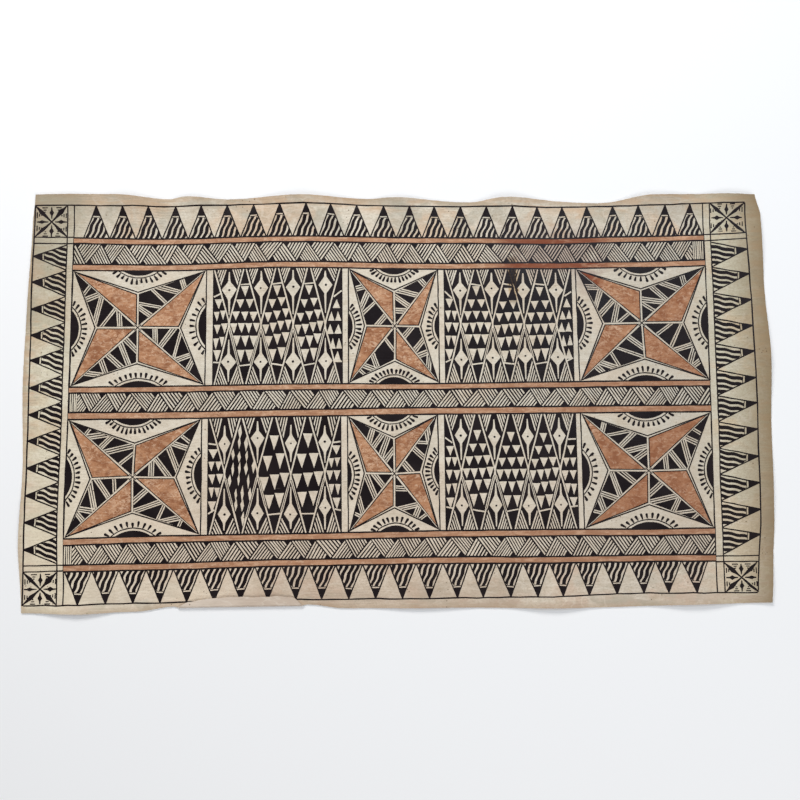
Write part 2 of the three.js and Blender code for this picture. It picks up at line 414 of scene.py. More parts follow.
# The ruled lines: black plant ink drawn by hand along a straight edge, before anything else. Long lines
# frame the drawing and part it into a border, six bands and two rows of panels. The drawing sits a
# little off the sheet's middle, and its places are given from the drawing's own centre.
BARE, INK, DYE, UNDER = 0, 1, 2, 3
DRAWING_X, DRAWING_Y = -10.0, -2.0
LINE, OUTER_LINE, NEAR_LINE = 1.7, 1.9, 1.8
RULED_STEP = 14.0
WIDTH_SHAKE, CORNER_SHAKE = 0.16, 0.7
BAND_TALL = {
    "band 1": 7.6, "band 2": 8.0, "band 3": 7.7, "band 4": 8.9, "band 5": 8.3, "band 6": 8.3,
}
LEVEL_PLACES = (-440, -300, -135, 60, 210, 330, 440)
LEVEL_LINES = {
    "far": (259.0, 257.0, 260.5, 255.6, 254.5, 255.8, 259.2),
    "band 1": (212.0, 209.6, 213.2, 209.8, 208.0, 210.4, 212.6),
    "band 2": (176.4, 175.0, 179.0, 175.2, 175.2, 176.0, 178.6),
    "band 3": (15.2, 15.2, 16.8, 15.9, 16.6, 17.3, 17.2),
    "band 4": (-18.2, -18.6, -17.0, -16.0, -16.1, -16.0, -16.0),
    "band 5": (-178.6, -176.3, -175.6, -174.4, -174.7, -175.8, -175.4),
    "band 6": (-211.4, -210.5, -208.2, -207.6, -209.2, -208.9, -209.6),
    "near": (-257.0, -255.8, -254.2, -255.4, -255.6, -252.8, -254.0),
}
UPRIGHT_PLACES = (-255, -150, 0, 130, 258)
UPRIGHT_LINES = {
    "left": (-470.0, -469.5, -469.0, -468.5, -467.2),
    "left strip outer": (-427.0, -429.2, -426.6, -425.6, -424.6),
    "left strip inner": (-418.8, -421.0, -418.2, -417.2, -416.0),
    "right strip inner": (413.6, 414.4, 416.2, 417.0, 416.4),
    "right strip outer": (423.6, 424.2, 425.8, 426.0, 425.4),
    "right": (466.5, 475.2, 477.8, 476.4, 472.2),
}
# The short lines that part the corner squares from the borders of the short sides
CROSS_LINES = (216.4, 208.2, -207.0, -214.6)
RIGHT_FAR_RISE = 2.6
hand = random.Random(11)
painted = []


def shaky(amount):
    """The hand's error, to either side."""
    return hand.uniform(-amount, amount)


def spaced(start, end, parts):
    """Places spread evenly from start to end."""
    return [start + (end - start) * k / parts for k in range(parts + 1)]


def between(a, b, share):
    """The point at a share of the way from a to b."""
    return (a[0] + (b[0] - a[0]) * share, a[1] + (b[1] - a[1]) * share)


def apart(a, b):
    return math.hypot(b[0] - a[0], b[1] - a[1])


def heading(a, b):
    """The unit step from a to b, and the one square to it on the left."""
    run = apart(a, b) or 1.0
    ux, uy = (b[0] - a[0]) / run, (b[1] - a[1]) / run
    return ux, uy, -uy, ux


def level(name, x):
    """How far up a line that runs along the drawing lies at x."""
    return eased(dict(zip(LEVEL_PLACES, LEVEL_LINES[name])), x)


def upright(name, y):
    """How far across a line that runs up the drawing lies at y."""
    return eased(dict(zip(UPRIGHT_PLACES, UPRIGHT_LINES[name])), y)


def band_side(name, side, x):
    """The far (1) or near (-1) side of a band."""
    return level(name, x) + side * BAND_TALL[name] / 2


def turned_left(points):
    """Twice the outline's area, positive where it runs anticlockwise."""
    return sum(a[0] * b[1] - b[0] * a[1] for a, b in zip(points, points[1:] + points[:1]))


def cut_to(points, region):
    """The part of an outline inside a region with no hollow sides."""
    if turned_left(region) < 0:
        region = region[::-1]
    for a, b in zip(region, region[1:] + region[:1]):
        sides = [(b[0] - a[0]) * (p[1] - a[1]) - (b[1] - a[1]) * (p[0] - a[0]) for p in points]
        kept = []
        for k, p in enumerate(points):
            following = (k + 1) % len(points)
            if sides[k] >= 0:
                kept.append(p)
            if (sides[k] >= 0) != (sides[following] >= 0):
                kept.append(between(p, points[following], sides[k] / (sides[k] - sides[following])))
        points = kept
        if len(points) < 3:
            return []
    return points


def fill(colour, points, wobble=0.3, step=9.0):
    """Paints an outline by hand: its corners wander, and so do its longer sides."""
    outline = []
    for k, a in enumerate(points):
        b = points[(k + 1) % len(points)]
        at_corner = wobble * CORNER_SHAKE
        outline.append((a[0] + shaky(at_corner), a[1] + shaky(at_corner)))
        parts = int(apart(a, b) // step)
        for part in range(1, parts + 1):
            x, y = between(a, b, part / (parts + 1))
            outline.append((x + shaky(wobble), y + shaky(wobble)))
    painted.append((colour, outline))


def stroke(path, width, colour=INK, step=9.0, wobble=0.25, cut=()):
    """Draws a line by hand: it wavers, thickens and thins, and is cut to each of the regions given."""
    line = [path[0]]
    for a, b in zip(path, path[1:]):
        parts = max(1, round(apart(a, b) / step))
        for part in range(1, parts + 1):
            x, y = between(a, b, part / parts)
            ends_here = part == parts and b is path[-1]
            line.append((x, y) if ends_here else (x + shaky(wobble), y + shaky(wobble)))
    left, right = [], []
    for k, (x, y) in enumerate(line):
        nx, ny = heading(line[max(k - 1, 0)], line[min(k + 1, len(line) - 1)])[2:]
        half = width / 2 * (1 + shaky(WIDTH_SHAKE))
        left.append((x + nx * half, y + ny * half))
        right.append((x - nx * half, y - ny * half))
    outline = left + right[::-1]
    for region in cut:
        outline = cut_to(outline, region)
    if len(outline) > 2:
        painted.append((colour, outline))


def ruled(point_at, start, end, width, wobble=0.25):
    """A long line through the points at the places from start to end."""
    parts = max(2, round(abs(end - start) / RULED_STEP))
    path = [point_at(place) for place in spaced(start, end, parts)]
    stroke(path, width, step=RULED_STEP, wobble=wobble)


ruled(lambda x: (x, level("far", x)), -467, 472, OUTER_LINE, wobble=0.35)
ruled(lambda x: (x, level("near", x)), -469, 466, NEAR_LINE, wobble=0.60)
for name, near_end in (("left", -257), ("right", -252)):
    ruled(lambda y: (upright(name, y), y), near_end, 259, OUTER_LINE)
for name in ("left strip outer", "left strip inner", "right strip inner", "right strip outer"):
    ruled(lambda y: (upright(name, y), y), level("near", upright(name, -255)), 258, LINE)
for outer, inner in (("left", "left strip inner"), ("right", "right strip inner")):
    for y in CROSS_LINES:
        rise = RIGHT_FAR_RISE if outer == "right" and y > 0 else 0.0
        ends = ((upright(outer, y), y + rise + shaky(0.4)), (upright(inner, y), y + shaky(0.4)))
        stroke(ends, LINE)

ink = Finish("black_ink")
uneven = ink.noise(14.0, 20.0, detail=4.0).step(0.32, 0.70)
ink.colour = uneven.mix(tone(22, 14, 16), tone(32, 24, 25))
thin = ink.noise(70.0, 460.0, detail=5.0, rough=0.7, shift=3.0, twist=0.03).step(0.60, 0.76)
ink.over(thin * 0.40, tone(62, 58, 54))
scraped = ink.noise(36.0, 820.0, detail=4.0, rough=0.6, shift=7.0, twist=-0.06).step(0.70, 0.76)
ink.over(scraped * 0.45, tone(142, 132, 116))
ink.over(ink.spill(0.10) * 0.30, tone(44, 34, 36))
dryness = 0.38 + uneven * 0.10 + thin * 0.18
ink.close(dryness, ink.grain(0.7), strength=0.42, distance=0.0008, shine=0.15)


# The toothed border: a row of tall triangles stands on each side of the drawing, tips outward. Each is
# outlined in black ink, tipped with black above a thin bar, and filled below it with wavy black stripes
# that run along one of its sides.
TEETH_ALONG, TEETH_DOWN = 24, 12
TEETH_FAR, TEETH_NEAR = 206.5, -205.5
TOOTH_LINE, BAR_LINE = 1.8, 0.9
BAR_HEIGHT, TIP_GAP, TIP_OVERLAP = 0.655, 0.046, 0.7
STRIPE_START, STRIPE_STOP, STRIPE_WIDE, STRIPE_GAP = 2.9, 4.5, 4.5, 2.6
STRIPE_SWING, STRIPE_WAVES, STRIPE_STEPS = 0.75, 16.0, 13
OFF_ROOT, OFF_SIDE, OFF_FOOT = 1.3, 0.3, 0.8
TOOTH_SHORT, TOOTH_APART = 0.6, 0.4


def tooth(p, q, tip, root, other):
    """A triangle with its base from p to q. The stripes run along the side from root to the tip."""
    stroke([p, tip], TOOTH_LINE)
    stroke([q, tip], TOOTH_LINE)
    bar = BAR_HEIGHT + shaky(0.025)
    tilt = shaky(0.012)
    top_left = between(p, tip, bar + TIP_GAP + tilt)
    top_right = between(q, tip, bar + TIP_GAP - tilt)
    ux, uy = heading(p, q)[:2]
    top_left = (top_left[0] - ux * TIP_OVERLAP, top_left[1] - uy * TIP_OVERLAP)
    top_right = (top_right[0] + ux * TIP_OVERLAP, top_right[1] + uy * TIP_OVERLAP)
    fill(INK, [top_left, top_right, tip], 0.25)
    stroke([between(p, tip, bar + tilt), between(q, tip, bar - tilt)], BAR_LINE)
    run = apart(p, q)
    along = heading(root, other)
    rise = (tip[0] - root[0], tip[1] - root[1])
    phase = shaky(3.0)
    swing = STRIPE_SWING + shaky(0.2)
    place = STRIPE_START + shaky(0.4)
    while place < run - STRIPE_STOP:
        thick = STRIPE_WIDE + shaky(0.45)
        sides = []
        for start in (place, min(place + thick, run - OFF_FOOT)):
            reach = min(1 - start / run, bar)
            steps = max(2, round(reach * STRIPE_STEPS))
            side = []
            for k in range(steps + 1):
                t = reach * k / steps
                bend = swing * math.sin(STRIPE_WAVES * t + phase) + 0.5 * math.sin(phase)
                at = min(max(start + bend, OFF_ROOT), run * (1 - t) - OFF_SIDE)
                x = root[0] + along[0] * at + rise[0] * t
                side.append((x, root[1] + along[1] * at + rise[1] * t))
            sides.append(side)
        fill(INK, sides[0] + sides[1][::-1], 0.18, step=20.0)
        place += thick + STRIPE_GAP + shaky(0.35)


for first, last, line, band, side in (
    (-404.0, 415.2, "far", "band 1", 1),
    (-418.4, 403.4, "near", "band 6", -1),
):
    pitch = (last - first) / TEETH_ALONG
    for k in range(TEETH_ALONG):
        x0 = first + pitch * k
        x1 = x0 + pitch
        p = (x0 + TOOTH_APART, band_side(band, side, x0))
        q = (x1 - TOOTH_APART, band_side(band, side, x1))
        middle = (x0 + x1) / 2 + shaky(1.2)
        tip = (middle, level(line, middle) - side * TOOTH_SHORT)
        root, other = (p, q) if side > 0 else (q, p)
        tooth(p, q, tip, root, other)

pitch = (TEETH_FAR - TEETH_NEAR) / TEETH_DOWN
for k in range(TEETH_DOWN):
    y0 = TEETH_FAR - pitch * (k + 1)
    y1 = y0 + pitch
    for line, strip, rise in (("left", "left strip outer", 1.5), ("right", "right strip outer", 7.0)):
        p = (upright(strip, y0), y0 + TOOTH_APART)
        q = (upright(strip, y1), y1 - TOOTH_APART)
        middle = (y0 + y1) / 2 + rise + shaky(1.2)
        tip = (upright(line, middle), middle)
        root, other = (p, q) if line == "left" else (q, p)
        tooth(p, q, tip, root, other)


# The plaits: three long black strips, each filled with a zigzag of triangles combed with bare stripes,
# so that they look plaited. The stripes were left bare as the ink was laid round them, and each plait
# has a short block of upright stripes at one end.
PLAIT_UNITS, PLAIT_EDGE, PLAIT_END = 24, 0.3, 0.6
BLOCK_START, BLOCK_PITCH, BLOCK_LINE = 1.6, 2.5, 1.5
STRIPE_COUNTS, COMBED_SHARE, BARE_SHARE = (6, 6, 6, 7, 7), 0.77, 0.52
COMB_START, COMB_OVER, COMB_GAPS, ROOM_OVER = 0.5, 8, [0.5] * 3, 9


def beside(a, b, before, after, off, fan):
    """A line beside the one from a to b: longer at both ends, off to its left, and a little fanned."""
    ux, uy, nx, ny = heading(a, b)
    start = (a[0] - ux * before + nx * (off + fan), a[1] - uy * before + ny * (off + fan))
    end = (b[0] + ux * after + nx * (off - fan), b[1] + uy * after + ny * (off - fan))
    return [start, end]


def comb(regions, root, tip, far_corner):
    """Bare stripes along the side from root to tip, and on towards the far corner."""
    nx, ny = heading(root, tip)[2:]
    reach = (far_corner[0] - root[0]) * nx + (far_corner[1] - root[1]) * ny
    way = 1 if reach > 0 else -1
    stripes = hand.choice(STRIPE_COUNTS)
    gap = abs(reach) * (COMBED_SHARE + shaky(0.04)) / stripes
    at = COMB_START
    for k in range(stripes):
        line = beside(root, tip, COMB_OVER, COMB_OVER, way * (at + gap * 0.5), shaky(0.35))
        stroke(line, gap * (BARE_SHARE + shaky(0.07)), BARE, step=14.0, wobble=0.2, cut=regions)
        at += gap


def shrunk(points, gaps):
    """An outline with each side moved inwards by its own gap."""
    turn = 1 if turned_left(points) > 0 else -1
    sides = []
    for k, a in enumerate(points):
        b = points[(k + 1) % len(points)]
        nx, ny = heading(a, b)[2:]
        move = gaps[k] * turn
        sides.append(((a[0] + nx * move, a[1] + ny * move), (b[0] + nx * move, b[1] + ny * move)))
    corners = []
    for k in range(len(points)):
        (ax, ay), (bx, by) = sides[k - 1]
        (cx, cy), (dx, dy) = sides[k]
        spread = (bx - ax) * (dy - cy) - (by - ay) * (dx - cx)
        share = ((cx - ax) * (dy - cy) - (cy - ay) * (dx - cx)) / spread
        corners.append((ax + (bx - ax) * share, ay + (by - ay) * share))
    return corners


Plait = namedtuple("Plait", "far near mirrored left_block right_block")
for plait in (
    Plait("band 1", "band 2", False, 0, 6),
    Plait("band 3", "band 4", True, 4, 0),
    Plait("band 5", "band 6", True, 4, 0),
):
    x0 = upright("left strip inner", level(plait.far, -416)) + PLAIT_END
    x1 = upright("right strip inner", level(plait.far, 416)) - PLAIT_END

    def top(x):
        return band_side(plait.far, -1, x) - PLAIT_EDGE

    def low(x):
        return band_side(plait.near, 1, x) + PLAIT_EDGE

    places = spaced(x0, x1, 80)
    painted.append((INK, [(x, low(x)) for x in places] + [(x, top(x)) for x in places[::-1]]))
    for block, start, way in ((plait.left_block, x0, 1), (plait.right_block, x1, -1)):
        for k in range(block):
            x = start + way * (BLOCK_START + BLOCK_PITCH * k)
            stroke([(x + shaky(0.3), low(x) + 0.8), (x + shaky(0.3), top(x) - 0.8)], BLOCK_LINE, BARE)
    x0 += plait.left_block * BLOCK_PITCH + 0.5
    x1 -= plait.right_block * BLOCK_PITCH + 0.5
    pitch = (x1 - x0) / PLAIT_UNITS
    upper = [x0 + pitch * k + shaky(2.2) for k in range(PLAIT_UNITS + 1)]
    lower = [x0 + pitch * (k - 0.5) + shaky(2.2) for k in range(PLAIT_UNITS + 2)]
    room = [(x, low(x) - ROOM_OVER) for x in (x0, x1)] + [(x, top(x) + ROOM_OVER) for x in (x1, x0)]
    for k in range(PLAIT_UNITS):
        base = [(x, top(x)) for x in upper[k:k + 2]]
        tip = (lower[k + 1], low(lower[k + 1]))
        near_end, far_end = base if plait.mirrored else base[::-1]
        comb([shrunk(base + [tip], COMB_GAPS)], tip, near_end, far_end)
    for k in range(PLAIT_UNITS + 1):
        base = [(x, low(x)) for x in lower[k:k + 2]]
        tip = (upper[k], top(upper[k]))
        near_end, far_end = base if plait.mirrored else base[::-1]
        comb([shrunk(base + [tip], COMB_GAPS), room], near_end, tip, far_end)


# The star panels: a four-armed star with its points in the panel's corners. Each arm is parted along its
# length, one half rubbed with brown dye and the other black with strips of bare lines. Between the arms
# a black half-disc stands on each side of the panel, with an arc and short brush dashes round it.
STRIPS = (
    ((0.25, 0.38), (0.40, 0.50), (0.46, 0.90), (0.68, 1.12), (0.76, 1.60)),
    ((0.30, 0.30), (0.38, 0.69), (0.59, 0.81), (0.66, 1.30), (0.83, 1.41)),
    ((0.20, 0.44), (0.43, 0.49), (0.54, 0.77), (0.73, 0.91), (0.83, 1.36)),
    ((0.22, 0.30), (0.29, 0.52), (0.50, 0.62), (0.58, 1.02), (0.80, 1.30)),
)
HATCH_GAP, HATCH_LINE = 2.75, 1.5
# A dash's outline: a share of its length, and half its width there as shares of its thin and thick ends
DASH_ROWS = ((0.0, 0.3, 0.0), (0.3, 0.5, 0.0), (0.75, 0.0, 0.5), (0.94, 0.0, 0.4), (1.0, 0.0, 0.15))
DASH_THIN, DASH_THICK = 2.5, 3.5
ARC_STEPS, ARC_GAP, ARC_LINE = 6, 3.0, 1.5
RAY_GAP, RAY_LONG, RAY_LEAN, RAY_CLEAR = 4.1, 7.3, 1.45, 1.6
# What stands on each side of a panel: the depth of the notch between two arms, then the half-disc's half
# chord, its depth and its number of rays. The first is for the sides along the bands.
Side = namedtuple("Side", "notch half_chord deep rays")
WIDE_SIDES = (Side(28.5, 24.5, 8.0, (11, 12, 13, 14)), Side(31.5, 25.0, 9.2, (11, 12, 13)))
NARROW_SIDES = (Side(28.5, 20.5, 8.0, (11, 12, 13, 14)), Side(21.0, 18.5, 5.8, (11, 12, 13)))
WIDE_PANEL = 140
STRIPS_IN_WIDE, STRIPS_IN_NARROW = 5, 4
# The star's outline, and how far its halves stand in from their outer, inner and middle sides
STAR_LINE, MIDDLE_LINE, POINT_BACK, MIDDLE_SHORT = 1.7, 1.4, 0.012, 0.05
OUTER_GAP, INNER_GAP, MIDDLE_GAP, HALF_POINT = 3.4, 1.0, 1.2, 0.78
BROWN_GAPS, BROWN_POINT = (1.5, 1.35, 1.35), 0.35


def hatch(tip, notch, middle, count):
    """Strips of bare lines, zigzag across a black half from its middle line to its outer sides."""
    half = [tip, notch, middle]
    for on_middle_line, on_outer in sorted(hand.sample(hand.choice(STRIPS), count)):
        a = between(tip, middle, on_middle_line + shaky(0.02))
        on_outer += shaky(0.03)
        b = between(tip, notch, on_outer) if on_outer <= 1 else between(notch, middle, on_outer - 1)
        lines = 2 if apart(a, b) < 9 else hand.choice((3, 3, 3, 2))
        gap = HATCH_GAP + shaky(0.2)
        for k in range(lines):
            line = beside(a, b, 5, 5, (k - (lines - 1) / 2) * gap, shaky(0.4))
            stroke(line, HATCH_LINE + shaky(0.2), BARE, step=12.0, wobble=0.2, cut=[half])


def tapered(start, ux, uy, rows):
    """An outline along a straight way. A row gives how far out it lies, half its width and its lean."""
    left, right = [], []
    for out, half, lean in rows:
        x, y = start[0] + ux * out, start[1] + uy * out
        left.append((x - uy * (half + lean), y + ux * (half + lean)))
        right.append((x + uy * half, y - ux * half))
    return left + right[::-1]


def dash(a, b, thin, thick):
    """A mark of the brush, thin where it is set down and blunt where it is lifted."""
    ux, uy = heading(a, b)[:2]
    run = apart(a, b)
    rows = [(run * share, thin * of_thin + thick * of_thick, 0.0) for share, of_thin, of_thick in DASH_ROWS]
    fill(INK, tapered(a, ux, uy, rows), 0.12, step=50.0)


def half_disc(a, b, half_chord, deep, rays):
    """A black segment on the panel's side from a to b, with its arc and its rays, on the left of a-b."""
    middle = between(a, b, 0.5 + shaky(0.015))
    ux, uy, vx, vy = heading(a, b)
    half_chord *= 1 + shaky(0.06)
    deep *= 1 + shaky(0.12)
    radius = (half_chord ** 2 + deep ** 2) / (2 * deep)

    def at(r, angle):
        aside, out = r * math.sin(angle), r * math.cos(angle) - (radius - deep)
        return (middle[0] + ux * aside + vx * out, middle[1] + uy * aside + vy * out)

    def arc(r, spread):
        return [at(r, spread * (1 - k / ARC_STEPS)) for k in range(2 * ARC_STEPS + 1)]

    fill(INK, arc(radius, math.asin(min(half_chord / radius, 1.0))), 0.2, step=50.0)
    ring = radius + ARC_GAP
    spread = math.acos(min((radius - deep) / ring, 1.0))
    stroke(arc(ring, spread), ARC_LINE, step=50.0)
    for k in range(rays):
        angle = spread * 0.99 * (2 * k / (rays - 1) - 1)
        lean = angle * RAY_LEAN + shaky(0.1)
        start = at(radius + RAY_GAP + shaky(0.4), angle)
        off_side = (start[0] - middle[0]) * vx + (start[1] - middle[1]) * vy
        raised = max(RAY_CLEAR - off_side, 0.0)
        start = (start[0] + vx * raised, start[1] + vy * raised)
        long = RAY_LONG + shaky(1.2)
        dx = ux * math.sin(lean) + vx * math.cos(lean)
        dy = uy * math.sin(lean) + vy * math.cos(lean)
        end = (start[0] + dx * long, start[1] + dy * long)
        dash(start, end, DASH_THIN + shaky(0.2), DASH_THICK + shaky(0.4))


Star = namedtuple("Star", "left_far left_near right_far right_near far near brown_side")
for star in (
    Star(-416.5, -417.5, -243.0, -244.0, "band 2", "band 3", 0),
    Star(-57.4, -58.4, 60.2, 60.4, "band 2", "band 3", 0),
    Star(242.6, 244.4, 417.0, 416.6, "band 2", "band 3", 0),
    Star(-418.6, -420.6, -247.4, -247.8, "band 4", "band 5", 1),
    Star(-60.0, -59.6, 57.0, 58.0, "band 4", "band 5", 1),
    Star(243.8, 244.6, 416.0, 414.0, "band 4", "band 5", 1),
):
    corners = [
        (star.left_far, band_side(star.far, -1, star.left_far)),
        (star.right_far, band_side(star.far, -1, star.right_far)),
        (star.right_near, band_side(star.near, 1, star.right_near)),
        (star.left_near, band_side(star.near, 1, star.left_near)),
    ]
    wide_panel = star.right_far - star.left_far > WIDE_PANEL
    sides = WIDE_SIDES if wide_panel else NARROW_SIDES
    stroke([corners[0], corners[3]], LINE)
    stroke([corners[1], corners[2]], LINE)
    middle_x = sum(p[0] for p in corners) / 4 + shaky(1.5)
    middle = (middle_x, sum(p[1] for p in corners) / 4 + shaky(1.0))
    notches = []
    for k, a in enumerate(corners):
        b = corners[(k + 1) % 4]
        side = sides[k % 2]
        on_side = between(a, b, 0.5 + shaky(0.012))
        notches.append(between(on_side, middle, (side.notch + shaky(1.8)) / apart(on_side, middle)))
        half_disc(b, a, side.half_chord, side.deep, hand.choice(side.rays))
    body = []
    for corner, notch in zip(corners, notches):
        body += [between(corner, middle, POINT_BACK), notch]
    fill(INK, body, 0.14, step=14.0)
    fill(BARE, shrunk(body, [STAR_LINE] * 8), 0.12, step=14.0)
    for k in range(4):
        corner = body[2 * k]
        for number, notch in enumerate((notches[k], notches[k - 1])):
            gaps = (OUTER_GAP + shaky(0.25), INNER_GAP, MIDDLE_GAP)
            half = shrunk([corner, notch, middle], gaps)
            half[0] = between(half[0], corner, HALF_POINT)
            fill(INK, half, 0.16, step=14.0)
            if number == star.brown_side:
                brown = shrunk(half, BROWN_GAPS)
                brown[0] = between(brown[0], half[0], BROWN_POINT)
                fill(DYE, brown, 0.18, step=14.0)
            else:
                strips = STRIPS_IN_WIDE if wide_panel else STRIPS_IN_NARROW
                hatch(*shrunk(half, COMB_GAPS), strips)
    for k in (0, 1):
        stroke([between(middle, corners[end], MIDDLE_SHORT) for end in (k, k + 2)], MIDDLE_LINE)


# The lozenge panels: black grounds with four columns of tall bare lozenges, each with a spike at both
# ends and a black spot at its heart, between crossed bare lines. Rows of small bare triangles fill the
# gaps, combed lines the corners, and one gap is filled with upright spindles instead.
Row = namedtuple("Row", "top tall count")
CLOSE_ROWS = (
    Row(0.842, 0.092, 1), Row(0.727, 0.080, 2), Row(0.622, 0.084, 3),
    Row(0.522, 0.092, 4), Row(0.416, 0.098, 3), Row(0.298, 0.112, 2),
)
TALL_ROWS = (Row(0.845, 0.138, 1), Row(0.677, 0.136, 2), Row(0.508, 0.132, 3), Row(0.345, 0.134, 2))
SIDE_ROWS = (
    Row(0.728, 0.085, 1), Row(0.625, 0.085, 2), Row(0.515, 0.090, 2),
    Row(0.400, 0.096, 2), Row(0.285, 0.100, 1),
)
COLUMNS, FIRST_COLUMN, BOTH_INSETS = 4, 22.0, 44.5
SPREAD, CROSSING, KNOT = 19.0, 0.037, 0.508
LATTICE_LINE, SPLIT_LINE, SPLIT_GAP, SPLIT_SHARE = 1.9, 2.9, 0.9, 0.58
SPINDLE_ROWS, SPINDLE_TOP, SPINDLE_PITCH, SPINDLE_WIDE = 8, 0.885, 0.107, 10.0
SPINDLE_TALL, SPINDLE_HALF = 0.061, 2.2
# Bars across the gaps between the columns: how far up they lie, and how much they may tilt
INNER_BARS = ((0.862, 0.008), (0.166, 0.010))
OUTER_BARS = ((0.775, 0.035), (0.195, 0.020))
BAR_WIDE = 1.8
LOZENGE_OUT, LOZENGE_BACK, SPIKE_CLEAR, SPIKE_MOST = 11.6, 13.8, 4.8, 22.3
FAR_TAIL, NEAR_TAIL = 0.602, 0.392
SPOT, SPOT_TURN = 1.5, 1.05
FIRST_COMBED, COMBED_LINE = 1.8, 1.5
# The combed corners: how many lines, and how far apart
CLOSE_COMB, WIDE_COMB = (6, 2.95), (5, 3.4)
PANEL_LOW, PANEL_TOP = 0.005, 0.995
